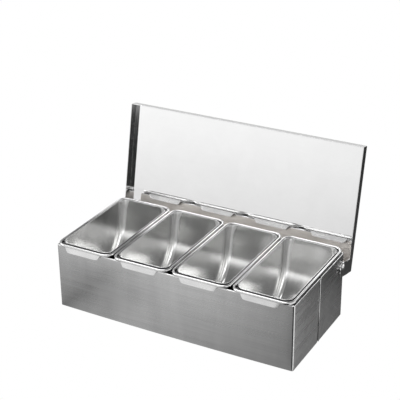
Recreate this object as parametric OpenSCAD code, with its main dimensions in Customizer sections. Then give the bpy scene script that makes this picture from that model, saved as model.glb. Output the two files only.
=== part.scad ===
// Condiment caddy: an open sheet-steel box with four lift-out trough pans
// side by side and one full-width lid that leans back on its rear flange.
// Millimetres. X runs along the front, -Y is the front, +Z is up.
// The origin is the middle of the underside of the box.
// The lid is drawn open, as it stands on its stop.

/* [Box] */
// Outside width of the box
body_w = 305; // [303:0.5:309]
// Outside depth of the box
body_d = 137; // [136.8:0.1:137.2]
// Height of the walls' hemmed top edge
body_h = 81.65; // [80:0.05:81.65]
// Thickness of the sheet, box and lid
sheet = 0.8; // [0.7:0.1:0.9]
// Outside radius of the upright bends
bend_r = 2.2; // [1.7:0.1:2.4]
// Depth of the folded hem inside the walls
hem_d = 6; // [4:0.5:8]
// Distance of the side seam behind the middle
seam_y = 0; // [0:0.5:10]
// Gap between the two wraps at the side seam
seam_gap = 0.3; // [0.1:0.05:0.6]
// Height of the base sheet's upturned flange
base_flange_h = 12; // [8:1:20]
// Width of the backing tongue behind a side seam
tongue_w = 18; // [12:1:24]
// Height of the backing tongue
tongue_h = 73; // [60:1:73]

/* [Pans] */
// Distance between the middles of neighbouring pans
pan_pitch = 76; // [75.6:0.1:76.4]
// Outside width of a pan's rim
rim_w = 74.5; // [73.5:0.1:75]
// Outside depth of a pan's rim, front to rear
rim_d = 145.6; // [145:0.1:145.8]
// Outside corner radius of the rim
rim_r = 11.5; // [9:0.5:13]
// Height of the top of the rim above the floor
rim_z = 85.7; // [85.7:0.1:86.1]
// Radius of the rolled edge
bead_r = 1.7; // [1.65:0.05:1.75]
// Depth of the groove between the lip and the rolled edge
groove_d = 3.2; // [3:0.05:3.2]
// Width of the pan's mouth
mouth_w = 64.7; // [62:0.1:65]
// Depth of the pan's mouth, front to rear
mouth_d = 132.6; // [130:0.1:132.6]
// Corner radius of the mouth
mouth_r = 10; // [8:0.5:12]
// Radius of the trough, about an axis along X
trough_r = 62; // [60:0.5:62]
// Height of the trough's axis
trough_z = 71; // [70:0.5:73]
// Width of the trough at its bottom
trough_w = 61; // [58:0.5:63]
// Blend radius between a side wall and the trough
trough_fillet = 6.5; // [5:0.5:10]
// Thickness of the drawn pan sheet
pan_t = 0.8; // [0.6:0.1:0.8]
// Width of a tab at its top
tab_w = 46; // [36:1:50]
// Width of a tab at its lower edge
tab_foot_w = 40; // [30:1:42]
// Height of a tab's lower edge above the floor
tab_z = 77; // [75:0.5:79]
// How far the front tabs slant outward
tab_kick = 1.5; // [0.5:0.1:1.8]

/* [Lid] */
// Angle the lid opens through
open_angle = 101.4; // [100:0.2:103]
// Outside width of the lid
lid_w = 309.6; // [309.2:0.2:311]
// Pivot axis behind the middle of the box
pivot_y = 61.2; // [61.1:0.1:61.5]
// Pivot axis above the floor
pivot_z = 67.4; // [67:0.1:68]
// Top face of the closed lid above the pivot axis
lid_rise = 30.8; // [30.4:0.1:31.4]
// Front face of the lid in front of the pivot axis
lid_reach = 137.7; // [137.2:0.1:138.2]
// Rear face of the lid behind the pivot axis
lid_back = 14; // [13.8:0.1:14.4]
// Depth of the front and side flanges
flange_d = 11; // [10:0.5:12]
// Front edge of a hinge ear in front of the pivot axis
ear_front = 5.3; // [5:0.1:6]
// Middle of the ear's round end above the pivot axis
ear_nose = 2.9; // [2:0.1:3.2]

/* [Hinge] */
// Radius of the rivet's shoulder, which turns in the ear
shoulder_r = 2.4; // [2.2:0.1:3]
// Radial clearance between the shoulder and the ear
pivot_clear = 0.05; // [0.02:0.01:0.1]
// Radius of the rivet's shank in the box wall
shank_r = 2; // [1.5:0.1:2.1]
// Radius of the rivet's domed head
head_r = 3.7; // [3.2:0.1:4.2]
// Height of the domed head
head_h = 2; // [1.5:0.1:2.5]
// Outside radius of the spacer washer
spacer_r = 5.5; // [4.5:0.5:6]
// Side play of the ear between washer and head, each way
side_play = 0.05; // [0.03:0.01:0.1]
// Outside radius of the backing washer
backer_r = 5; // [4:0.5:6]
// Thickness of the backing washer
backer_t = 0.8; // [0.6:0.1:1.2]
// Radius of the clinched tail
tail_r = 2.6; // [2.4:0.1:2.6]

/* [Hidden] */
$fn = 48;

wall_x = body_w / 2;                    // outer face of a side wall
wall_y = body_d / 2;                    // outer face of the front and rear walls
hem_z = body_h - sheet;                 // centre of the folded edge
ear_x = lid_w / 2 - sheet;              // inner face of a lid flange and its ear
spacer_t = ear_x - side_play - wall_x;  // thickness of the spacer washer
lid_top = pivot_z + lid_rise;
lid_y0 = pivot_y - lid_reach;
lid_y1 = pivot_y + lid_back;
// the rear flange ends where its outer edge meets the rear wall at the open angle
stop_gap = 0.03;
tip_h = (wall_y + stop_gap - pivot_y - lid_back * cos(open_angle)) / sin(open_angle);
ear_mid = (lid_back - ear_front) / 2;   // middle of the ear behind the pivot axis
ear_r = (lid_back + ear_front) / 2;
bead_z = rim_z - bead_r;
groove_z = rim_z - groove_d;            // bottom of the groove beside the lip

// a rectangle with round corners, centred
module plate(w, d, r) {
    square([w - 2 * r, d], center = true);
    square([w, d - 2 * r], center = true);
    for (x = [-1, 1], y = [-1, 1])
        translate([x * (w / 2 - r), y * (d / 2 - r)]) circle(r = r);
}

// one bent sheet: a long wall with a flap of length flap round each end
module wrap(flap) {
    difference() {
        linear_extrude(hem_z) difference() {
            plate(body_w, body_d, bend_r);
            plate(body_w - 2 * sheet, body_d - 2 * sheet, bend_r - sheet);
        }
        translate([-wall_x - 1, -wall_y + flap, -1])
            cube([body_w + 2, body_d, body_h + 2]);
    }
    // folded hem of the long wall, then of each flap
    hem(body_w - 2 * bend_r, [0, -wall_y + sheet, hem_z], 0);
    for (s = [-1, 1])
        hem(flap - bend_r, [s * (wall_x - sheet), -wall_y + (flap + bend_r) / 2, hem_z], s);
}

// a closed hem of length l along X (side 0) or along Y on the left or right
module hem(l, at, side) {
    translate(at) rotate([0, 0, side == 0 ? 0 : side * 90]) {
        rotate([0, 90, 0]) cylinder(r = sheet, h = l, center = true);
        translate([-l / 2, 0, -hem_d]) cube([l, sheet, hem_d]);
    }
}

module front_wrap() {
    color("silver") wrap(wall_y + seam_y - seam_gap / 2);
}

module rear_wrap() {
    color("silver") difference() {
        rotate([0, 0, 180]) wrap(wall_y - seam_y - seam_gap / 2);
        for (s = [-1, 1]) at_pivot(s)
            cylinder(r = shank_r, h = 20, center = true);
    }
}

// bottom sheet, its upturned flange and the tongue behind each side seam
module base_pan() {
    w = body_w - 2 * sheet;
    d = body_d - 2 * sheet;
    r = bend_r - sheet;
    color("gray") {
        linear_extrude(sheet) plate(w, d, r);
        linear_extrude(base_flange_h) difference() {
            plate(w, d, r);
            square([w - 2 * sheet, d - 2 * sheet], center = true);
        }
        for (s = [-1, 1])
            translate([s * (w / 2 - sheet / 2), seam_y, tongue_h / 2])
                cube([sheet, tongue_w, tongue_h], center = true);
    }
}

// places a part whose local +Z points outward along the pivot axis on side s
module at_pivot(s) {
    translate([s * wall_x, pivot_y, pivot_z]) rotate([0, s * 90, 0]) children();
}

// domed head, shoulder inside the ear, shank through the wall, clinched tail
module rivet(s) {
    out = spacer_t + side_play;
    inside = sheet + backer_t;
    dome = (head_r * head_r + head_h * head_h) / (2 * head_h);
    color("gainsboro") at_pivot(s) {
        translate([0, 0, -inside - 1.2]) cylinder(r = tail_r, h = 1.2);
        translate([0, 0, -inside - 1.2]) cylinder(r = shank_r, h = inside + 1.2 + spacer_t);
        translate([0, 0, spacer_t]) cylinder(r = shoulder_r, h = sheet + 2 * side_play);
        translate([0, 0, spacer_t + sheet + 2 * side_play]) intersection() {
            translate([0, 0, head_h - dome]) sphere(r = dome);
            cylinder(r = head_r, h = head_h);
        }
    }
}

module spacer(s) {
    color("silver") at_pivot(s) difference() {
        cylinder(r = spacer_r, h = spacer_t);
        translate([0, 0, -1]) cylinder(r = shank_r, h = spacer_t + 2);
    }
}

// inside the wall, trimmed to the bend of the rear corner
module backer(s) {
    color("silver") intersection() {
        at_pivot(s) translate([0, 0, -sheet - backer_t]) difference() {
            cylinder(r = backer_r, h = backer_t);
            translate([0, 0, -1]) cylinder(r = shank_r, h = backer_t + 2);
        }
        linear_extrude(body_h)
            plate(body_w - 2 * sheet, body_d - 2 * sheet - 0.1, bend_r - sheet);
    }
}

// the closed tray with its ears, drawn about the pivot axis
module lid_closed() {
    depth = lid_reach + lid_back;
    mid = (lid_back - lid_reach) / 2;
    low = lid_rise - flange_d;
    difference() {
        union() {
            difference() {
                translate([0, mid, tip_h]) linear_extrude(lid_rise - tip_h)
                    plate(lid_w, depth, 1.6);
                translate([0, mid, tip_h - 1]) linear_extrude(lid_rise - sheet - tip_h + 1)
                    plate(lid_w - 2 * sheet, depth - 2 * sheet, 1.6 - sheet);
                // the front and side flanges are shallower than the rear one
                translate([-lid_w, -lid_reach - 1, tip_h - 1])
                    cube([2 * lid_w, lid_reach + 1 - ear_front, low - tip_h + 1]);
            }
            for (s = [-1, 1]) ear(s);
        }
        rotate([0, 90, 0]) cylinder(r = shoulder_r + pivot_clear, h = lid_w + 2, center = true);
    }
}

// a flat ear with a round end, in the plane of the side flange
module ear(s) {
    translate([s * (lid_w / 2 - sheet / 2), 0, 0]) rotate([0, 90, 0]) {
        translate([-ear_nose, ear_mid, 0]) cylinder(r = ear_r, h = sheet, center = true);
        translate([-(lid_rise - 1 + ear_nose) / 2, ear_mid, 0])
            cube([lid_rise - 1 - ear_nose, 2 * ear_r, sheet], center = true);
    }
}

module lid() {
    color("gainsboro") translate([0, pivot_y, pivot_z])
        rotate([-open_angle, 0, 0]) lid_closed();
}

// lower half of a drum about the X axis, its edges blended
module trough(grow) {
    r = trough_r + grow;
    h = trough_w / 2 + grow;
    f = trough_fillet + grow;
    translate([0, 0, trough_z]) rotate([0, 90, 0]) rotate([0, 0, -90])
        rotate_extrude(angle = 180, $fn = 56) {
            translate([0, -h]) square([r - f, 2 * h]);
            translate([0, f - h]) square([r, 2 * (h - f)]);
            for (s = [-1, 1]) translate([r - f, s * (h - f)]) circle(r = f, $fn = 28);
        }
}

// the inside of a pan, or its outside where grow is the sheet thickness
module bowl(grow, top) {
    hull() {
        translate([0, 0, groove_z]) linear_extrude(top - groove_z)
            plate(mouth_w + 2 * grow, mouth_d + 2 * grow, mouth_r + grow, $fn = 32);
        trough(grow);
    }
}

// a round edge that follows a rectangle with round corners
module bead(w, d, r, tube) {
    for (s = [-1, 1]) {
        translate([s * w / 2, 0, 0]) rotate([90, 0, 0])
            cylinder(r = tube, h = d - 2 * r, center = true);
        translate([0, s * d / 2, 0]) rotate([0, 90, 0])
            cylinder(r = tube, h = w - 2 * r, center = true);
    }
    for (a = [0 : 3]) {
        x = (a == 0 || a == 3 ? 1 : -1) * (w / 2 - r);
        y = (a < 2 ? 1 : -1) * (d / 2 - r);
        translate([x, y, 0]) rotate([0, 0, 90 * a])
            rotate_extrude(angle = 90) translate([r, 0]) circle(r = tube);
    }
}

// the tab bent down from the front edge of the rim, slanting outward by kick
module tab(kick) {
    y = -rim_d / 2;
    top = bead_z + 0.3;
    intersection() {
        rotate([90, 0, 90]) linear_extrude(tab_w + 10, center = true) polygon([
            [y + 0.05, top], [y + 0.05 - kick, tab_z], [y + 0.85 - kick, tab_z],
            [y + 0.85, top]]);
        rotate([90, 0, 0]) translate([0, 0, -y - 5]) linear_extrude(10)
            polygon([[-tab_w / 2 - 3, top + 1], [-tab_w / 2 - 3, top - 1.2],
                [-tab_w / 2 - 0.9, top - 1.7], [-tab_w / 2, top - 2.9],
                [-tab_foot_w / 2 - 0.8, tab_z + 0.8], [-tab_foot_w / 2 + 0.6, tab_z - 1],
                [tab_foot_w / 2 - 0.6, tab_z - 1], [tab_foot_w / 2 + 0.8, tab_z + 0.8],
                [tab_w / 2, top - 2.9], [tab_w / 2 + 0.9, top - 1.7],
                [tab_w / 2 + 3, top - 1.2], [tab_w / 2 + 3, top + 1]]);
    }
}

module pan(n) {
    color("whitesmoke") translate([(n - 2.5) * pan_pitch, 0, 0]) {
        difference() {
            union() {
                // the lip stands above the flange that rests on the walls' hems
                bowl(pan_t, rim_z - 0.1);
                translate([0, 0, groove_z - pan_t]) linear_extrude(pan_t)
                    plate(rim_w - 2 * bead_r, rim_d - 2 * bead_r, rim_r - bead_r);
            }
            bowl(0, rim_z + 1);
        }
        translate([0, 0, bead_z])
            bead(rim_w - 2 * bead_r, rim_d - 2 * bead_r, rim_r - bead_r, bead_r);
        tab(tab_kick);
        mirror([0, 1, 0]) tab(0.6 * tab_kick);
    }
}

front_wrap();
rear_wrap();
base_pan();
lid();
rivet(-1);  // rivet_left
rivet(1);  // rivet_right
spacer(-1);  // spacer_left
spacer(1);  // spacer_right
backer(-1);  // backer_left
backer(1);  // backer_right
pan(1);  // pan_1
pan(2);  // pan_2
pan(3);  // pan_3
pan(4);  // pan_4
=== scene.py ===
"""Condiment caddy: brushed steel box, four lift-out pans, one full-width lid leaning open."""
import math

import bpy
from mathutils import Matrix, Vector


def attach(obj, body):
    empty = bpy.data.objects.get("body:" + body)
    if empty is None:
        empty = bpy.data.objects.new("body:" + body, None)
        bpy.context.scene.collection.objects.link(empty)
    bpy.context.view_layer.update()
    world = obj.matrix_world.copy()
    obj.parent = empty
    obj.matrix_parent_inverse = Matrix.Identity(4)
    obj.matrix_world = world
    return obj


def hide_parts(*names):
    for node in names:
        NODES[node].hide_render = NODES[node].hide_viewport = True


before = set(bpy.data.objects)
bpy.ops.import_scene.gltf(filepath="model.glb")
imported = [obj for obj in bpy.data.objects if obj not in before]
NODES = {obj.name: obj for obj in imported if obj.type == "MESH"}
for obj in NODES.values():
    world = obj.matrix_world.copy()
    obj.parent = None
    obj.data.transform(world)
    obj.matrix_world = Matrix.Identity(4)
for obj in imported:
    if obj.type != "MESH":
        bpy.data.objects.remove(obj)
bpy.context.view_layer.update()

MM = 0.001
PITCH = 76.0
PIVOT = (61.2, 67.4)          # y, z of the hinge axis
OPEN = math.radians(101.4)


# ---------------------------------------------------------------- helpers

def new_object(name, verts, faces, mats, mat_index=None, smooth=True):
    """A mesh object from millimetre vertices, its object at the origin."""
    me = bpy.data.meshes.new(name)
    me.from_pydata([(x * MM, y * MM, z * MM) for x, y, z in verts], [], faces)
    me.update()
    for m in mats:
        me.materials.append(m)
    if mat_index is not None:
        me.polygons.foreach_set("material_index", mat_index)
    me.polygons.foreach_set("use_smooth", [smooth] * len(me.polygons))
    ob = bpy.data.objects.new(name, me)
    bpy.context.scene.collection.objects.link(ob)
    return ob


def tidy(ob, dist=1e-6):
    """Welds doubles and points every face outward."""
    import bmesh
    bm = bmesh.new()
    bm.from_mesh(ob.data)
    bmesh.ops.remove_doubles(bm, verts=bm.verts, dist=dist)
    bmesh.ops.dissolve_degenerate(bm, edges=bm.edges, dist=dist)
    bmesh.ops.recalc_face_normals(bm, faces=bm.faces)
    bm.to_mesh(ob.data)
    bm.free()
    ob.data.update()


def bevel(ob, width, segments=2, angle=50):
    m = ob.modifiers.new("edge", "BEVEL")
    m.width = width * MM
    m.segments = segments
    m.limit_method = "ANGLE"
    m.angle_limit = math.radians(angle)
    m.harden_normals = False


def weighted(ob):
    m = ob.modifiers.new("normals", "WEIGHTED_NORMAL")
    m.keep_sharp = True
    m.weight = 60


def belongs(ob, body, node):
    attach(ob, body)
    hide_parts(*([node] if isinstance(node, str) else node))


# ---------------------------------------------------------------- materials

class Tree:
    def __init__(self, name):
        self.m = bpy.data.materials.new(name)
        self.m.use_nodes = True
        self.t = self.m.node_tree
        self.t.nodes.clear()
        self.out = self.t.nodes.new("ShaderNodeOutputMaterial")
        self.tc = self.t.nodes.new("ShaderNodeTexCoord")

    def node(self, kind, **props):
        n = self.t.nodes.new(kind)
        for k, v in props.items():
            setattr(n, k, v)
        return n

    def link(self, a, b):
        self.t.links.new(a, b)

    def noise(self, scale, rot=(0, 0, 0), detail=3.0, rough=0.55, distort=0.0, vector=None):
        """Noise over object space, with its frequencies per metre along each axis."""
        mp = self.node("ShaderNodeMapping")
        mp.inputs["Rotation"].default_value = [math.radians(a) for a in rot]
        self.link(vector or self.tc.outputs["Object"], mp.inputs["Vector"])
        sc = self.node("ShaderNodeMapping")
        sc.inputs["Scale"].default_value = scale
        self.link(mp.outputs[0], sc.inputs["Vector"])
        n = self.node("ShaderNodeTexNoise")
        n.inputs["Scale"].default_value = 1.0
        n.inputs["Detail"].default_value = detail
        n.inputs["Roughness"].default_value = rough
        n.inputs["Distortion"].default_value = distort
        self.link(sc.outputs[0], n.inputs["Vector"])
        return n.outputs["Fac"]

    def span(self, value, lo, hi, a=0.3, b=0.7):
        """Maps a value from a..b to lo..hi, clamped."""
        n = self.node("ShaderNodeMapRange")
        n.inputs["From Min"].default_value = a
        n.inputs["From Max"].default_value = b
        n.inputs["To Min"].default_value = lo
        n.inputs["To Max"].default_value = hi
        self.link(value, n.inputs["Value"])
        return n.outputs["Result"]

    def math(self, op, a, b=None, c=None, clamp=False):
        n = self.node("ShaderNodeMath", operation=op, use_clamp=clamp)
        for i, v in enumerate((a, b, c)):
            if v is None:
                continue
            if isinstance(v, (int, float)):
                n.inputs[i].default_value = v
            else:
                self.link(v, n.inputs[i])
        return n.outputs[0]

    def ramp(self, value, stops):
        n = self.node("ShaderNodeValToRGB")
        r = n.color_ramp
        while len(r.elements) < len(stops):
            r.elements.new(0.5)
        for e, (p, c) in zip(r.elements, stops):
            e.position = p
            e.color = (c, c, c, 1) if isinstance(c, (int, float)) else (*c, 1)
        self.link(value, n.inputs["Fac"])
        return n.outputs["Color"]

    def mix(self, fac, a, b, mode="MIX"):
        n = self.node("ShaderNodeMix", data_type="RGBA", blend_type=mode)
        for sock, v in (("Factor", fac), ("A", a), ("B", b)):
            i = [s for s in n.inputs if s.name == sock and s.enabled][0]
            if isinstance(v, (int, float)):
                i.default_value = v if sock == "Factor" else (v, v, v, 1)
            elif isinstance(v, tuple):
                i.default_value = (*v, 1)
            else:
                self.link(v, i)
        return [s for s in n.outputs if s.enabled][0]

    def bump(self, height, dist_mm, strength=1.0, normal=None):
        n = self.node("ShaderNodeBump")
        n.inputs["Strength"].default_value = strength
        n.inputs["Distance"].default_value = dist_mm * MM
        self.link(height, n.inputs["Height"])
        if normal is not None:
            self.link(normal, n.inputs["Normal"])
        return n.outputs["Normal"]

    def surface(self, color, rough, normal=None, metallic=1.0, aniso=0.0, tangent=None):
        p = self.node("ShaderNodeBsdfPrincipled")
        p.inputs["Metallic"].default_value = metallic
        p.inputs["Anisotropic"].default_value = aniso
        self.link(color, p.inputs["Base Color"])
        self.link(rough, p.inputs["Roughness"])
        if normal is not None:
            self.link(normal, p.inputs["Normal"])
        if tangent is not None:
            self.link(tangent, p.inputs["Tangent"])
        self.link(p.outputs[0], self.out.inputs["Surface"])
        return self.m


def box_steel():
    t = Tree("box_brushed_steel")
    fine = t.noise((14, 14, 1500), detail=4, rough=0.65)
    streak = t.noise((5, 5, 190), detail=4, rough=0.6)
    cloud = t.noise((11, 11, 24), detail=3, rough=0.5)
    hatch_a = t.noise((40, 520, 26), rot=(38, 0, 0), detail=3, rough=0.6)
    hatch_b = t.noise((40, 470, 30), rot=(-47, 0, 0), detail=3, rough=0.6)
    geo = t.node("ShaderNodeNewGeometry")
    sep = t.node("ShaderNodeSeparateXYZ")
    t.link(geo.outputs["Normal"], sep.inputs[0])
    side = t.span(t.math("ABSOLUTE", sep.outputs["X"]), 0, 1, 0.55, 0.85)
    hatch = t.math("MAXIMUM", t.span(hatch_a, 0, 1, 0.52, 0.72), t.span(hatch_b, 0, 1, 0.54, 0.74))
    hatch = t.math("MULTIPLY", hatch, side)
    smear = t.noise((60, 60, 9), detail=3, rough=0.55, distort=0.3)
    patch = t.noise((21, 21, 7), detail=2, rough=0.5, distort=0.5)
    v = t.math("ADD", t.math("MULTIPLY", fine, 0.34), t.math("MULTIPLY", streak, 0.22))
    v = t.math("ADD", v, t.math("MULTIPLY", cloud, 0.12))
    v = t.math("ADD", v, t.math("MULTIPLY", smear, 0.2))
    v = t.math("ADD", v, t.math("MULTIPLY", patch, 0.26))
    v = t.math("ADD", v, t.math("MULTIPLY", hatch, 0.3))
    color = t.ramp(v, [(0.36, (0.44, 0.44, 0.445)), (0.56, (0.58, 0.58, 0.58)), (0.8, (0.74, 0.74, 0.735))])
    rough = t.math("ADD", t.span(streak, 0.22, 0.32), t.span(cloud, -0.03, 0.05))
    # the upright bends are smoother than the brushed walls
    bend = t.math("MINIMUM", t.math("ABSOLUTE", sep.outputs["X"]), t.math("ABSOLUTE", sep.outputs["Y"]))
    bend = t.span(bend, 0, 1, 0.06, 0.2)
    rough = t.math("ADD", t.math("MULTIPLY", rough, t.math("MULTIPLY_ADD", bend, -0.75, 1.0)), 0.005)
    h = t.math("ADD", t.math("MULTIPLY", fine, 0.6), t.math("MULTIPLY", hatch, -0.5))
    n = t.bump(cloud, 0.9, 0.35)
    n = t.bump(h, 0.02, 0.5, n)
    tan = t.node("ShaderNodeTangent", direction_type="RADIAL", axis="Z")
    return t.surface(color, rough, n, aniso=0.55, tangent=tan.outputs[0])


def sheet_steel(name, lo, hi, r0, r1, scale=(14, 900, 14)):
    t = Tree(name)
    fine = t.noise(scale, detail=4, rough=0.6)
    cloud = t.noise((16, 16, 16), detail=3)
    v = t.math("ADD", t.math("MULTIPLY", fine, 0.55), t.math("MULTIPLY", cloud, 0.45))
    color = t.ramp(v, [(0.35, lo), (0.65, hi)])
    rough = t.span(v, r0, r1)
    n = t.bump(cloud, 0.6, 0.25)
    n = t.bump(fine, 0.015, 0.5, n)
    return t.surface(color, rough, n)


def pan_satin(name="pan_satin_steel", lo=(0.66, 0.66, 0.655), hi=(0.76, 0.76, 0.755), metallic=1.0):
    t = Tree(name)
    grain = t.noise((900, 900, 900), detail=2, rough=0.7)
    drawn = t.noise((320, 60, 45), detail=3, rough=0.6)
    wave = t.noise((22, 16, 20), detail=2, rough=0.4)
    v = t.math("ADD", t.math("MULTIPLY", grain, 0.35), t.math("MULTIPLY", drawn, 0.3))
    v = t.math("ADD", v, t.math("MULTIPLY", wave, 0.35))
    color = t.ramp(v, [(0.38, lo), (0.62, hi)])
    rough = t.span(v, 0.14, 0.22)
    n = t.bump(wave, 0.9, 0.15)
    n = t.bump(grain, 0.02, 0.3, n)
    return t.surface(color, rough, n, metallic=metallic)


def rim_steel(name="pan_rim_steel", lo=0.80, hi=0.90, r0=0.10, r1=0.2):
    t = Tree(name)
    fine = t.noise((60, 60, 900), detail=3, rough=0.6)
    wave = t.noise((40, 40, 60), detail=2, rough=0.5)
    v = t.math("ADD", t.math("MULTIPLY", fine, 0.4), t.math("MULTIPLY", wave, 0.6))
    color = t.ramp(v, [(0.35, lo), (0.65, hi)])
    rough = t.span(v, r0, r1)
    n = t.bump(wave, 0.35, 0.3)
    n = t.bump(fine, 0.01, 0.4, n)
    return t.surface(color, rough, n)


def lid_mirror():
    t = Tree("lid_inner_mirror")
    smudge = t.noise((30, 26, 34), detail=4, rough=0.62, distort=0.4)
    polish = t.noise((10, 900, 700), detail=3, rough=0.6)
    wave = t.noise((9, 9, 9), detail=1, rough=0.3)
    v = t.math("ADD", t.math("MULTIPLY", smudge, 0.8), t.math("MULTIPLY", polish, 0.2))
    color = t.ramp(v, [(0.34, 0.87), (0.66, 0.90)])
    rough = t.span(v, 0.03, 0.07)
    # the sheet is flat at its foot and dished a little above the rims' height
    sep = t.node("ShaderNodeSeparateXYZ")
    t.link(t.tc.outputs["Object"], sep.inputs[0])
    above = t.math("MAXIMUM", t.math("SUBTRACT", sep.outputs["Z"], 0.0895), 0.0)
    n = t.bump(t.math("MULTIPLY", above, -0.062), 1000)
    n = t.bump(wave, 0.12, 0.1, n)
    n = t.bump(polish, 0.003, 0.12, n)
    return t.surface(color, rough, n)


M_BOX = box_steel()
M_BASE = sheet_steel("base_mill_steel", 0.42, 0.55, 0.3, 0.42)
M_PAN = pan_satin()
# a brighter, less metallic copy of the pan steel for the inner wall-to-trough radius: a painted highlight for the
# bright streak along the fillet
M_RADIUS_PAINTED_HIGHLIGHT = pan_satin("pan_radius_painted_highlight", (0.90, 0.90, 0.895), (0.97, 0.97, 0.965), 0.7)
M_RIM = rim_steel("pan_rim_steel", 0.60, 0.74, 0.12, 0.22)
# a darker copy of the rim steel for the rear rims: painted shade, the same rim as the front made duller
M_REAR_RIM_PAINTED_SHADE = rim_steel("pan_rear_rim_painted_shade", 0.46, 0.60, 0.18, 0.3)
M_REAR = sheet_steel("rear_wall_steel", (0.76, 0.72, 0.68), (0.88, 0.84, 0.80), 0.36, 0.5, (14, 14, 900))
M_TAB = rim_steel("pan_tab_steel", 0.74, 0.86, 0.2, 0.32)
# near-black rim steel for the groove between lip and bead: painted shade in the recess
M_GROOVE_PAINTED_SHADE = rim_steel("pan_groove_painted_shade", 0.16, 0.26, 0.34, 0.46)
M_HEM = rim_steel("hem_edge_steel", 0.68, 0.84, 0.16, 0.28)
M_MIRROR = lid_mirror()
M_LID_OUT = sheet_steel("lid_outer_brushed", 0.58, 0.72, 0.16, 0.26, (10, 700, 700))
M_LID_EDGE = rim_steel("lid_cut_edge", 0.90, 0.97, 0.12, 0.22)
M_RIVET = sheet_steel("rivet_steel", 0.72, 0.86, 0.12, 0.2, (300, 300, 300))


# ---------------------------------------------------------------- pans

NW, NA, NF = 9, 9, 14          # columns on a wall, a corner and a long side
ZT = 85.0                      # where the pan wall starts to turn into the rim
TROUGH_R, TROUGH_Z, FILLET = 62.0, 71.0, 9.6


def ring(a, b, r, z, y0=0.0):
    """A closed loop of a rectangle with round corners, from the right middle forward and round."""
    p = [(a, y0, z)]
    for j in range(1, NW + 1):
        p.append((a, y0 - (b - r) * j / NW, z))
    for j in range(1, NA + 1):
        t = math.pi / 2 * j / NA
        p.append((a - r + r * math.cos(t), y0 - (b - r) - r * math.sin(t), z))
    for j in range(1, NF + 1):
        p.append((a - r - 2 * (a - r) * j / NF, y0 - b, z))
    for j in range(1, NA + 1):
        t = math.pi / 2 * j / NA
        p.append((-(a - r) - r * math.sin(t), y0 - (b - r) - r * math.cos(t), z))
    for j in range(1, NW):
        p.append((-a, y0 - (b - r) * (1 - j / NW), z))
    p.append((-a, y0, z))
    return p + [(x, 2 * y0 - y, zz) for x, y, zz in reversed(p[1:-1])]


def half_depth(z):
    if z >= 82.5:
        return 66.3
    if z >= 57.02:
        return 60.40 + (z - 57.02) * 0.2314
    return math.sqrt(max(0.0, TROUGH_R ** 2 - (TROUGH_Z - z) ** 2))


def half_width(z):
    return 30.5 + 1.85 * min(1.0, max(0.0, (z - 9.0) / 73.5))


def reach(phi, zt):
    """Distance from the middle of the mouth to the trough along a direction below the horizon."""
    c, s = abs(math.cos(phi)), math.sin(phi)
    lo, hi = 20.0, 100.0
    for _ in range(50):
        mid = (lo + hi) / 2
        z = zt - mid * s
        inside = z > TROUGH_Z - TROUGH_R and mid * c < half_depth(z)
        lo, hi = (mid, hi) if inside else (lo, mid)
    return lo


def bowl_rows(grow, rows, zt):
    out = []
    for k in range(rows + 1):
        phi = math.pi * k / rows
        d = reach(phi, zt) + grow
        # the mouth's corners are rounder than the edge between a side wall and the trough
        low = min(1.0, d * math.sin(phi) / 16.0)
        f = 6.2 + (FILLET - 6.2) * (1 - low) ** 2 + grow
        dy, dz = -math.cos(phi), -math.sin(phi)
        row = []

        def put(x, rho, sx):
            z = zt + rho * dz
            row.append((sx * (x + half_width(z) + grow), rho * dy, z))

        for j in range(1, NW + 1):
            put(0.0, (d - f) * j / NW, 1)
        for j in range(1, NA + 1):
            t = math.pi / 2 * j / NA
            put(-f + f * math.cos(t), d - f + f * math.sin(t), 1)
        x0 = row[-1][0]
        for j in range(1, NF + 1):
            row.append((x0 - 2 * x0 * j / NF, d * dy, zt + d * dz))
        for j in range(1, NA + 1):
            t = math.pi / 2 * j / NA
            put(-f + f * math.sin(t), d - f + f * math.cos(t), -1)
        for j in range(1, NW):
            put(0.0, (d - f) * (1 - j / NW), -1)
        out.append(row)
    return out


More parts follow.
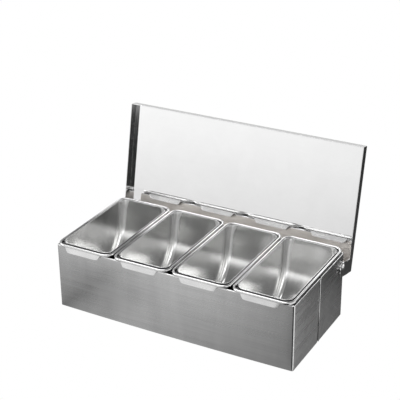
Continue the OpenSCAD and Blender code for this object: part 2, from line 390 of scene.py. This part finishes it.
def pan_geometry():
    verts, faces, tags = [], [], []

    def loop(points):
        i = len(verts)
        verts.extend(points)
        return list(range(i, i + len(points)))

    def skin(a, b, tag):
        n = len(a)
        for i in range(n):
            j = (i + 1) % n
            faces.append((a[i], a[j], b[j], b[i]))
            tags.append(tag)

    def bowl(top, grow, tag, zt, rows=60):
        m = len(top) // 2
        right, left = top[0], top[m]
        grid = [[top[j] for j in range(1, m)]]
        data = bowl_rows(grow, rows, zt)
        for k in range(1, rows):
            i = len(verts)
            verts.extend(data[k])
            grid.append(list(range(i, i + m - 1)))
        grid.append([top[len(top) - j] for j in range(1, m)])
        for a, b in zip(grid, grid[1:]):
            faces.append((right, a[0], b[0])); tags.append(tag)
            for i in range(len(a) - 1):
                faces.append((a[i], a[i + 1], b[i + 1], b[i]))
                # faces on the inner radius columns take slot 5, the painted-highlight copy of the pan steel
                bent = NW - 1 <= i < NW + NA - 1 or NW + NA + NF - 1 <= i < NW + 2 * NA + NF - 1
                tags.append(5 if bent and grow == 0 else tag)
            faces.append((a[-1], left, b[-1])); tags.append(tag)

    ai, bi, ri = half_width(ZT), half_depth(ZT), FILLET
    ao, bo, ro = 37.25, 72.8, 11.5

    def inn(d, z):
        return loop(ring(ai + d, bi + d, ri + d, z))

    def out(d, z):
        return loop(ring(ao - d, bo - d, max(ro - d, 1.5), z))

    top = inn(0, ZT)
    bowl(top, 0.0, 0, ZT)
    last = top
    # the lip, rounded over the sheet's thickness
    seq = []
    for k in range(1, 6):
        t = math.pi / 2 * k / 5
        seq.append(("i", 0.45 * (1 - math.cos(t)), ZT + 0.7 * math.sin(t), 1))
    for k in range(1, 5):
        t = math.pi / 2 * k / 4
        seq.append(("i", 0.45 + 0.4 * math.sin(t), ZT + 0.7 * math.cos(t), 1))
    # the groove beside it, in a near-black copy of the rim steel: painted shade in the recess
    seq += [("i", 0.85, 83.2, 3), ("i", 1.0, 82.75, 3), ("i", 1.15, 82.6, 3), ("o", 2.95, 82.6, 3)]
    # rolled bead, over the top and under
    for k in range(0, 19):
        t = math.radians(122 - 322 * k / 18)
        seq.append(("o", 1.6 + 1.6 * math.sin(t), 83.8 + 1.9 * math.cos(t), 1 if k > 2 else 3))
    seq += [("o", 3.2, 81.86, 1), ("i", 1.5, 81.84, 1)]
    for kind, d, z, tag in seq:
        nxt = inn(d, z) if kind == "i" else out(d, z)
        skin(last, nxt, tag)
        last = nxt
    zo = 81.5
    outer = loop(ring(half_width(zo) + 0.8, half_depth(zo) + 0.8, ri + 0.8, zo))
    skin(last, outer, 1)
    bowl(outer, 0.8, 0, zo)
    return verts, faces, tags


def tab_geometry(sign):
    """The tab under the front (sign -1) or rear edge of the rim."""
    rows = [  # y, z, half width
        (-71.85, 84.7, 26.4), (-72.10, 84.0, 25.4), (-72.32, 83.2, 24.4), (-72.55, 82.3, 23.7),
        (-72.82, 81.3, 23.1), (-73.09, 80.3, 22.5), (-73.36, 79.3, 21.9), (-73.60, 78.4, 21.3),
        (-73.79, 77.7, 20.7), (-73.88, 77.35, 20.3), (-73.93, 77.12, 19.7), (-73.95, 77.02, 19.0)]
    if sign > 0:
        rows = [(-71.85 + (y + 71.85) * 0.7, z, hw) for y, z, hw in rows]
    cols = 26
    verts, faces = [], []
    half = 0.4
    n = len(rows)
    grid = {}
    for side in (0, 1):
        for i, (y, z, hw) in enumerate(rows):
            y2, z2, _ = rows[min(i + 1, n - 1)]
            y1, z1, _ = rows[max(i - 1, 0)]
            ty, tz = y2 - y1, z2 - z1
            ln = math.hypot(ty, tz)
            ny, nz = tz / ln, -ty / ln          # outward for the front tab
            off = half if side == 0 else -half
            for j in range(cols + 1):
                u = -1 + 2 * j / cols
                # the plate bows very slightly and its ends curl back
                curl = 0.25 * max(0.0, abs(u) - 0.86) / 0.14
                grid[side, i, j] = len(verts)
                verts.append((u * hw, (y + ny * off + curl) * -sign, z + nz * off))
    for i in range(n - 1):
        for j in range(cols):
            for s in (0, 1):
                faces.append((grid[s, i, j], grid[s, i, j + 1], grid[s, i + 1, j + 1], grid[s, i + 1, j]))
        for j in (0, cols):
            faces.append((grid[0, i, j], grid[0, i + 1, j], grid[1, i + 1, j], grid[1, i, j]))
    for i in (0, n - 1):
        for j in range(cols):
            faces.append((grid[0, i, j], grid[0, i, j + 1], grid[1, i, j + 1], grid[1, i, j]))
    return verts, faces


def build_pans():
    pv, pf, pt = pan_geometry()
    tv = [tab_geometry(-1), tab_geometry(1)]
    for n in range(1, 5):
        cx = (n - 2.5) * PITCH
        verts, faces, tags = list(pv), list(pf), list(pt)
        for v, f in tv:
            i = len(verts)
            verts += v
            faces += [tuple(k + i for k in q) for q in f]
            tags += [2] * len(f)
        for i, f in enumerate(faces):
            # rim faces towards the rear take slot 4, the darker copy of the rim steel: painted shade
            if tags[i] == 1 and sum(verts[k][1] for k in f) / len(f) > 64.5:
                tags[i] = 4
        ob = new_object(f"pan_{n}_drawn", [(x + cx, y, z) for x, y, z in verts], faces,
                        [M_PAN, M_RIM, M_TAB, M_GROOVE_PAINTED_SHADE, M_REAR_RIM_PAINTED_SHADE, M_RADIUS_PAINTED_HIGHLIGHT], tags)
        tidy(ob)
        bevel(ob, 0.12, 2, 60)
        weighted(ob)
        belongs(ob, f"pan_{n}", f"pan_{n}")


# ---------------------------------------------------------------- box

BEND = 2.2


def wrap_path(front, d):
    """Points along the wrap at depth d inside its outer face, from the left seam to the right one."""
    s = -1 if front else 1
    seam = -0.15 if front else 0.15
    w, dd, r = 152.5, 68.5, BEND
    rr = max(r - d, 0.35)
    if front:
        flap = [(seam, -0.45), (seam - 0.8, -0.30), (seam - 2.2, -0.05), (seam - 4.5, 0.0)]
    else:
        flap = [(seam, 0.62), (seam + 0.5, 0.66), (seam + 1.2, 0.55), (seam + 2.4, 0.2), (seam + 4.5, 0.0)]
    ys = [y for y, _ in flap]
    n = 9
    end = (dd - r) * s
    last = ys[-1]
    pts = [(w - d + o, y) for y, o in flap]
    pts += [(w - d, last + (end - last) * k / n) for k in range(1, n + 1)]
    cx, cy = w - r, end
    for k in range(1, 8):
        t = math.pi / 2 * k / 8
        pts.append((cx + rr * math.cos(t) + (0 if d <= r - 0.35 else r - 0.35 - d), cy + s * rr * math.sin(t)))
    half = pts
    m = 22
    y_wall = s * (dd - d)
    x1 = w - r
    # the front wall bows forward a little in its middle
    bow = 1.9 if front else 0.4
    mid = []
    for k in range(0, m + 1):
        x = x1 - 2 * x1 * k / m
        mid.append((x, y_wall + s * bow * (1 - (x / x1) ** 2)))
    return half[::1] + mid + [(-x, y) for x, y in reversed(half)]


def build_wrap(front):
    hem = 80.85
    sec = [(0.0, 0.0), (0.0, 3.0), (0.0, 22.0), (0.0, 45.0), (0.0, 64.0), (0.0, 78.0), (0.0, 80.3)]
    for k in range(0, 9):
        t = math.pi * k / 8
        sec.append((0.8 - 0.8 * math.cos(t), hem + 0.8 * math.sin(t)))
    sec += [(1.6, 80.0), (1.6, 75.2), (1.5, 74.95), (1.0, 74.85), (0.8, 74.65), (0.8, 45.0), (0.8, 0.0)]
    verts, faces, tags = [], [], []
    rows = []
    for d, z in sec:
        p = wrap_path(front, d)
        i = len(verts)
        verts += [(x, y, z) for x, y in p]
        rows.append(list(range(i, i + len(p))))
    n = len(rows)
    for k in range(n):
        a, b = rows[k], rows[(k + 1) % n]
        tag = 1 if 6 <= k <= 16 else 0
        for i in range(len(a) - 1):
            faces.append((a[i], a[i + 1], b[i + 1], b[i]))
            tags.append(tag)
    faces.append(tuple(r[0] for r in rows)); tags.append(1)
    faces.append(tuple(r[-1] for r in reversed(rows))); tags.append(1)
    name = "front_wrap_sheet" if front else "rear_wrap_sheet"
    if not front:
        for i, f in enumerate(faces):
            if tags[i] == 0 and min(verts[k][1] for k in f) > 67.4:
                tags[i] = 2
    ob = new_object(name, verts, faces, [M_BOX, M_HEM, M_REAR], tags)
    tidy(ob)
    bevel(ob, 0.15, 2, 55)
    weighted(ob)
    belongs(ob, "shell", "front_wrap" if front else "rear_wrap")


# ---------------------------------------------------------------- lid

def lid_place(p):
    """From the closed lid, measured about the pivot, to where the open lid stands."""
    x, y, z = p
    c, s = math.cos(OPEN), math.sin(OPEN)
    return (x, PIVOT[0] + y * c + z * s, PIVOT[1] - y * s + z * c)


def build_lid():
    half_w, reach_f, back, rise = 154.8, 137.7, 14.0, 30.8
    low, tip = 19.8, 10.3
    r = 1.0
    e0, e1 = -3.7, back - r           # front and rear limits of the ear where it leaves the flange
    nose_y, nose_z, root = -5.3, 2.9, 10.0
    # columns of the outer face from the rear middle along the right side to the front middle
    cols = []                          # (x, y, free edge height, part of the ear's top line)
    nr, ns, nfr, na = 10, 16, 14, 6
    for k in range(nr + 1):
        cols.append(((half_w - r) * k / nr, back, tip, None))
    for k in range(1, na):
        t = math.pi / 2 * k / na
        cols.append((half_w - r + r * math.sin(t), back - r + r * math.cos(t), tip, None))
    ne = 12
    for k in range(ne + 1):
        y = e1 + (e0 - e1) * k / ne
        cols.append((half_w, y, root, k))
    y_side = [e0 - 0.4, e0 - 1.2, e0 - 2.6]
    n = 16
    for k in range(1, n + 1):
        y_side.append(e0 - 2.6 + (-reach_f + r - e0 + 2.6) * k / n)
    for i, y in enumerate(y_side):
        z = low - 0.7 * max(0.0, 1 - (e0 - y) / 2.6) ** 2
        cols.append((half_w, y, z, None))
    for k in range(1, na):
        t = math.pi / 2 * k / na
        cols.append((half_w - r + r * math.cos(t), -reach_f + r - r * math.sin(t), low, None))
    for k in range(nfr + 1):
        cols.append(((half_w - r) * (1 - k / nfr), -reach_f, low, None))
    full = cols + [(-x, y, z, e) for x, y, z, e in reversed(cols[1:-1])]
    sgn = [1] * len(cols) + [-1] * (len(cols) - 2)
    verts, faces = [], []
    mid_y = (back - reach_f) / 2

    def inset(x, y, d):
        """Moves a point of the outline inward by d, corners included."""
        hx, hy = half_w - d, (back + reach_f) / 2 - d
        rr = max(r - d, 0.0)
        ax, ay = abs(x), abs(y - mid_y)
        cx, cy = half_w - r, (back + reach_f) / 2 - r
        sx, sy = (1 if x >= 0 else -1), (1 if y - mid_y >= 0 else -1)
        if ax > cx and ay > cy:
            ux, uy = (ax - cx) / r, (ay - cy) / r
            if d <= r:
                nx, ny = cx + ux * rr, cy + uy * rr
            else:
                nx, ny = hx, hy
        else:
            nx, ny = min(ax, hx), min(ay, hy)
        return sx * nx, mid_y + sy * ny

    levels = []                         # (inset, height or None for the free edge)
    levels.append((0.0, None))
    levels.append((0.0, low + 1.2))
    levels.append((0.0, 25.0))
    levels.append((0.0, rise - r))
    for k in range(1, 7):
        t = math.pi / 2 * k / 6
        levels.append((r - r * math.cos(t), rise - r + r * math.sin(t)))
    levels.append((3.2, rise))
    rows = []
    for d, z in levels:
        row = []
        for x, y, edge, _ in full:
            px, py = inset(x, y, d) if d else (x, y)
            row.append(len(verts))
            verts.append((px, py, edge if z is None else z))
        rows.append(row)
    m = len(full)
    for a, b in zip(rows, rows[1:]):
        for i in range(m):
            j = (i + 1) % m
            faces.append((a[i], a[j], b[j], b[i]))
    # the panel, one face across the top ring
    top = rows[-1]
    faces.append(tuple(top))
    # ears
    ring_top = {1: {}, -1: {}}
    for i, (x, y, z, e) in enumerate(full):
        if e is not None:
            ring_top[sgn[i]][e] = rows[0][i]
    ear_mid, ear_r, hole = (back + nose_y) / 2, (back - nose_y) / 2, 2.45
    for s in (1, -1):
        x = s * half_w
        border = []                     # (y, z, existing index or None), once round from the top line
        for k in range(ne + 1):
            i = ring_top[s][k]
            border.append((verts[i][1], verts[i][2], i))
        # down the front edge, round the end, up the rear edge
        for k in range(1, 4):
            border.append((e0 + (nose_y - e0) * k / 4, root + (nose_z - root) * k / 4, None))
        for k in range(0, 21):
            t = math.pi + math.pi * k / 20
            yy = ear_mid + ear_r * math.cos(t)
            border.append((min(yy, e1), nose_z + ear_r * math.sin(t), None))
        for k in range(3, 0, -1):
            border.append((e1, root + (nose_z - root) * k / 4, None))
        seen, clean = set(), []
        for y, z, i in border:
            key = (round(y, 3), round(z, 3))
            if key not in seen:
                seen.add(key)
                clean.append((y, z, i))
        outer = []
        for y, z, i in clean:
            if i is None:
                i = len(verts)
                verts.append((x, y, z))
            outer.append(i)
        prev = outer
        for f in (0.55, 0.0):
            cur = []
            for y, z, _ in clean:
                ln = math.hypot(y, z)
                hy, hz = y / ln * hole, z / ln * hole
                cur.append(len(verts))
                verts.append((x, hy + (y - hy) * f, hz + (z - hz) * f))
            for i in range(len(prev)):
                j = (i + 1) % len(prev)
                faces.append((prev[i], prev[j], cur[j], cur[i]))
            prev = cur
    ob = new_object("lid_tray", [lid_place(v) for v in verts], faces,
                    [M_LID_OUT, M_MIRROR, M_LID_EDGE])
    tidy(ob)
    sol = ob.modifiers.new("sheet", "SOLIDIFY")
    sol.thickness = 0.8 * MM
    sol.offset = -1
    sol.use_even_offset = True
    sol.use_rim = True
    sol.material_offset = 1
    sol.material_offset_rim = 2
    bevel(ob, 0.2, 2, 55)
    weighted(ob)
    belongs(ob, "lid", "lid")
    return ob


# ---------------------------------------------------------------- hinge hardware

def lathe(name, profile, side, mat, node):
    """Turns (distance outward from the side wall, radius) about the hinge axis."""
    n = 40
    verts, faces, rows = [], [], []
    for x, r in profile:
        i = len(verts)
        if r < 1e-6:
            verts.append((side * (152.5 + x), PIVOT[0], PIVOT[1]))
            rows.append([i])
            continue
        for k in range(n):
            t = 2 * math.pi * k / n
            verts.append((side * (152.5 + x), PIVOT[0] + r * math.cos(t), PIVOT[1] + r * math.sin(t)))
        rows.append(list(range(i, i + n)))
    for a, b in zip(rows, rows[1:]):
        for i in range(n):
            j = (i + 1) % n
            q = [a[i % len(a)], a[j % len(a)], b[j % len(b)], b[i % len(b)]]
            q = list(dict.fromkeys(q))
            if len(q) > 2:
                faces.append(tuple(q))
    ob = new_object(name, verts, faces, [mat])
    tidy(ob)
    bevel(ob, 0.12, 2, 45)
    weighted(ob)
    belongs(ob, "shell", node)


def build_hardware():
    for side, word in ((-1, "left"), (1, "right")):
        head = []
        base, h, r = 2.35, 2.0, 3.7
        dome = (r * r + h * h) / (2 * h)
        t1 = math.asin(r / dome)
        for k in range(0, 9):
            t = t1 * (1 - k / 8)
            head.append((base + h - dome + dome * math.cos(t), dome * math.sin(t)))
        prof = [(-2.8, 0), (-2.8, 2.0), (-2.6, 2.4), (-2.3, 2.6), (-1.6, 2.6), (-1.6, 2.0),
                (1.45, 2.0), (1.45, 2.4), (base, 2.4), (base, r - 0.15)] + head[:-1] + [(base + h, 0)]
        lathe(f"hinge_rivet_{word}", prof, side, M_RIVET, f"rivet_{word}")
        lathe(f"hinge_spacer_{word}", [(0, 2.0), (0, 5.3), (0.2, 5.5), (1.25, 5.5), (1.45, 5.3),
                                       (1.45, 2.0), (0, 2.0)], side, M_RIVET, f"spacer_{word}")
        lathe(f"hinge_backer_{word}", [(-1.6, 2.0), (-1.6, 4.9), (-1.5, 5.0), (-0.8, 5.0),
                                       (-0.8, 2.0), (-1.6, 2.0)], side, M_RIVET, f"backer_{word}")


build_pans()
build_wrap(True)
build_wrap(False)
build_lid()
build_hardware()

# the base sheet keeps its own shape
base = NODES["base_pan"]
base.data.materials.clear()
base.data.materials.append(M_BASE)


# ---------------------------------------------------------------- studio

class Nodes(Tree):
    """The same node helpers for the floor's and the studio's trees."""

    def __init__(self, tree):
        self.t = tree
        self.t.nodes.clear()
        self.tc = self.t.nodes.new("ShaderNodeTexCoord")

    def split(self, vector):
        n = self.node("ShaderNodeSeparateXYZ")
        self.link(vector, n.inputs[0])
        return n.outputs["X"], n.outputs["Y"], n.outputs["Z"]

    def curve(self, value, lo, hi, points):
        """Straight lines through points (value, result), result up to 2."""
        stops = [((p - lo) / (hi - lo), r / 2) for p, r in points]
        c = self.ramp(self.span(value, 0, 1, lo, hi), stops)
        return self.math("MULTIPLY", c, 2.0)

    def blend(self, fac, a, b):
        """a where fac is 0, b where it is 1."""
        d = self.math("SUBTRACT", b, a)
        return self.math("MULTIPLY_ADD", d, fac, a)


def floor_material():
    """Plain floor: white to the camera, graded from near to far in what the steel reflects."""
    m = bpy.data.materials.new("floor_white")
    m.use_nodes = True
    t = Nodes(m.node_tree)
    x, y, _ = t.split(t.tc.outputs["Object"])
    # distance in front of the front wall, and the azimuth round the right front corner
    ahead = t.math("SUBTRACT", -0.0685, y)
    near = t.math("MULTIPLY", t.curve(ahead, 0.0, 1.2, FLOOR_AHEAD), t.curve(x, -0.6, 0.3, FLOOR_ALONG))
    shade = t.math("MULTIPLY", t.curve(ahead, 0.0, 0.3, [(0.0, 0.24), (0.03, 0.3), (0.07, 0.32), (0.11, 0.08), (0.14, 0.0)]),
                   t.curve(x, -0.3, 0.0, [(-0.3, 1.0), (-0.1, 1.0), (-0.06, 0.15), (-0.03, 0.0)]))
    near = t.math("MULTIPLY", near, t.math("SUBTRACT", 1.0, shade))
    dx = t.math("SUBTRACT", x, 0.1525)
    dy = t.math("ADD", y, 0.0685)
    az = t.math("ARCTAN2", dx, t.math("MULTIPLY", dy, -1.0))
    az = t.math("DEGREES", az)
    r = t.math("SQRT", t.math("ADD", t.math("MULTIPLY", dx, dx), t.math("MULTIPLY", dy, dy)))
    side = t.curve(r, 0.0, 0.6, FLOOR_SIDE)
    corner = t.curve(az, -180, 180, FLOOR_CORNER)
    weight = t.curve(az, -180, 180, [(-180, 0.0), (-24, 0.0), (-12, 1.0), (132, 1.0), (142, 0.0), (180, 0.0)])
    right = t.span(az, 0, 1, 120, 140)
    left = t.span(az, 1, 0, -150, -110)
    v = t.blend(right, near, side)
    v = t.blend(left, v, side)
    v = t.blend(weight, v, corner)
    em = t.node("ShaderNodeEmission")
    t.link(v, em.inputs["Color"])
    white = t.node("ShaderNodeEmission")
    white.inputs["Color"].default_value = (1, 1, 1, 1)
    ray = t.node("ShaderNodeLightPath")
    mix = t.node("ShaderNodeMixShader")
    out = t.node("ShaderNodeOutputMaterial")
    t.link(ray.outputs["Is Camera Ray"], mix.inputs[0])
    t.link(em.outputs[0], mix.inputs[1])
    t.link(white.outputs[0], mix.inputs[2])
    t.link(mix.outputs[0], out.inputs["Surface"])
    return m


# brightness of the floor by distance in front of the box, beside it, and by azimuth at its corner
FLOOR_AHEAD = [(0.0, 0.56), (0.04, 0.60), (0.10, 0.70), (0.18, 0.78), (0.35, 0.84), (0.6, 0.84), (1.2, 0.84)]
FLOOR_ALONG = [(-0.6, 1.0), (-0.19, 1.08), (-0.165, 0.9), (-0.15, 0.62), (-0.132, 0.95), (-0.11, 1.14), (-0.04, 1.02),
               (0.03, 0.84), (0.08, 0.68), (0.13, 0.56), (0.3, 0.5)]
FLOOR_SIDE = [(0.0, 0.26), (0.1, 0.19), (0.17, 0.15), (0.23, 0.06), (0.6, 0.03)]
FLOOR_CORNER = [(-180, 0.3), (-14, 0.12), (-4, 0.04), (50, 0.04), (64, 1.1), (124, 1.1), (138, 0.3), (180, 0.3)]
SKY_TURN = [(-1, 1.0), (-0.52, 1.0), (-0.3, 0.88), (0.0, 0.82), (1.0, 0.8)]
# brightness of the studio by height (sine of the elevation) to the left, to the right and behind
SKY_LEFT = [(-1, 0.3), (-0.3, 0.7), (-0.04, 0.76), (0.02, 0.9), (0.09, 1.08), (0.14, 1.14), (0.3, 1.1), (0.5, 1.05), (0.62, 0.9), (0.73, 0.4),
            (0.85, 0.28), (1.0, 0.25)]
SKY_RIGHT = [(-1, 0.03), (0.14, 0.03), (0.20, 1.4), (0.25, 2.0), (0.38, 2.0), (0.48, 0.9), (0.58, 0.35), (0.8, 0.22),
             (1.0, 0.25)]
SKY_BACK = [(-1, 0.3), (-0.05, 0.8), (0.0, 0.95), (0.15, 0.85), (0.3, 0.4), (0.5, 0.3), (0.7, 0.3), (1.0, 0.25)]

floor = bpy.data.objects.new("floor", bpy.data.meshes.new("floor"))
S = 2.5
floor.data.from_pydata([(-S, -S, -0.0003), (S, -S, -0.0003), (S, S, -0.0003), (-S, S, -0.0003)], [], [(0, 1, 2, 3)])
floor.data.materials.append(floor_material())
bpy.context.scene.collection.objects.link(floor)

world = bpy.data.worlds.new("studio")
bpy.context.scene.world = world
world.use_nodes = True
w = Nodes(world.node_tree)
dx, dy, dz = w.split(w.tc.outputs["Generated"])
flat = w.math("SQRT", w.math("ADD", w.math("MULTIPLY", dx, dx), w.math("ADD", w.math("MULTIPLY", dy, dy), 1e-6)))
sky_left = w.curve(dz, -1, 1, SKY_LEFT)
sky_right = w.curve(dz, -1, 1, SKY_RIGHT)
sky_back = w.curve(dz, -1, 1, SKY_BACK)
to_right = w.span(w.math("DIVIDE", dx, flat), 0, 1, -0.16, 0.12)
to_back = w.span(w.math("DIVIDE", dy, flat), 0, 1, 0.0, 0.45)
sky_left = w.math("MULTIPLY", sky_left, w.curve(w.math("DIVIDE", dx, flat), -1, 1, SKY_TURN))
sky = w.blend(to_back, sky_left, sky_back)
sky = w.blend(to_right, sky, sky_right)
wo = w.node("ShaderNodeOutputWorld")
bg = w.node("ShaderNodeBackground")
w.link(sky, bg.inputs["Color"])
bg_cam = w.node("ShaderNodeBackground")
bg_cam.inputs["Color"].default_value = (1, 1, 1, 1)
lp = w.node("ShaderNodeLightPath")
mx = w.node("ShaderNodeMixShader")
w.link(lp.outputs["Is Camera Ray"], mx.inputs[0])
w.link(bg.outputs[0], mx.inputs[1])
w.link(bg_cam.outputs[0], mx.inputs[2])
w.link(mx.outputs[0], wo.inputs["Surface"])


def area(name, loc, target, size, energy, size_y=None):
    d = bpy.data.lights.new(name, "AREA")
    d.energy = energy
    d.shape = "RECTANGLE"
    d.size = size
    d.size_y = size_y or size
    ob = bpy.data.objects.new(name, d)
    bpy.context.scene.collection.objects.link(ob)
    ob.location = loc
    v = Vector(target) - Vector(loc)
    ob.rotation_euler = v.to_track_quat("-Z", "Y").to_euler()
    ob.visible_camera = False
    return ob


area("soft_top", (-0.35, -0.1, 1.3), (0, 0, 0.05), 1.0, 10)
area("soft_left", (-1.3, -0.5, 0.7), (0, 0, 0.05), 0.7, 6)

# ---------------------------------------------------------------- camera

AZ, EL, ROLL, DIST = 29.066, 25.259, -0.59, 1268.4
TARGET = Vector((1.754, 0.0, 143.947))
F_PX = 1116.9
a, e, rl = math.radians(AZ), math.radians(EL), math.radians(ROLL)
back = Vector((math.sin(a) * math.cos(e), -math.cos(a) * math.cos(e), math.sin(e)))
right = (-back).cross(Vector((0, 0, 1))).normalized()
up = right.cross(-back)
R = right * math.cos(rl) + up * math.sin(rl)
U = up * math.cos(rl) - right * math.sin(rl)
cam_data = bpy.data.cameras.new("camera")
cam_data.sensor_width = 36.0
cam_data.sensor_fit = "HORIZONTAL"
cam_data.lens = F_PX / 400.0 * 36.0
cam_data.clip_start = 0.05
cam_data.clip_end = 20
cam = bpy.data.objects.new("camera", cam_data)
bpy.context.scene.collection.objects.link(cam)
loc = (TARGET + back * DIST) * MM
cam.matrix_world = Matrix((
    (R.x, U.x, back.x, loc.x),
    (R.y, U.y, back.y, loc.y),
    (R.z, U.z, back.z, loc.z),
    (0, 0, 0, 1)))
bpy.context.scene.camera = cam

bpy.context.scene.view_settings.view_transform = "Standard"
bpy.context.scene.view_settings.look = "None"

bpy.context.view_layer.update()
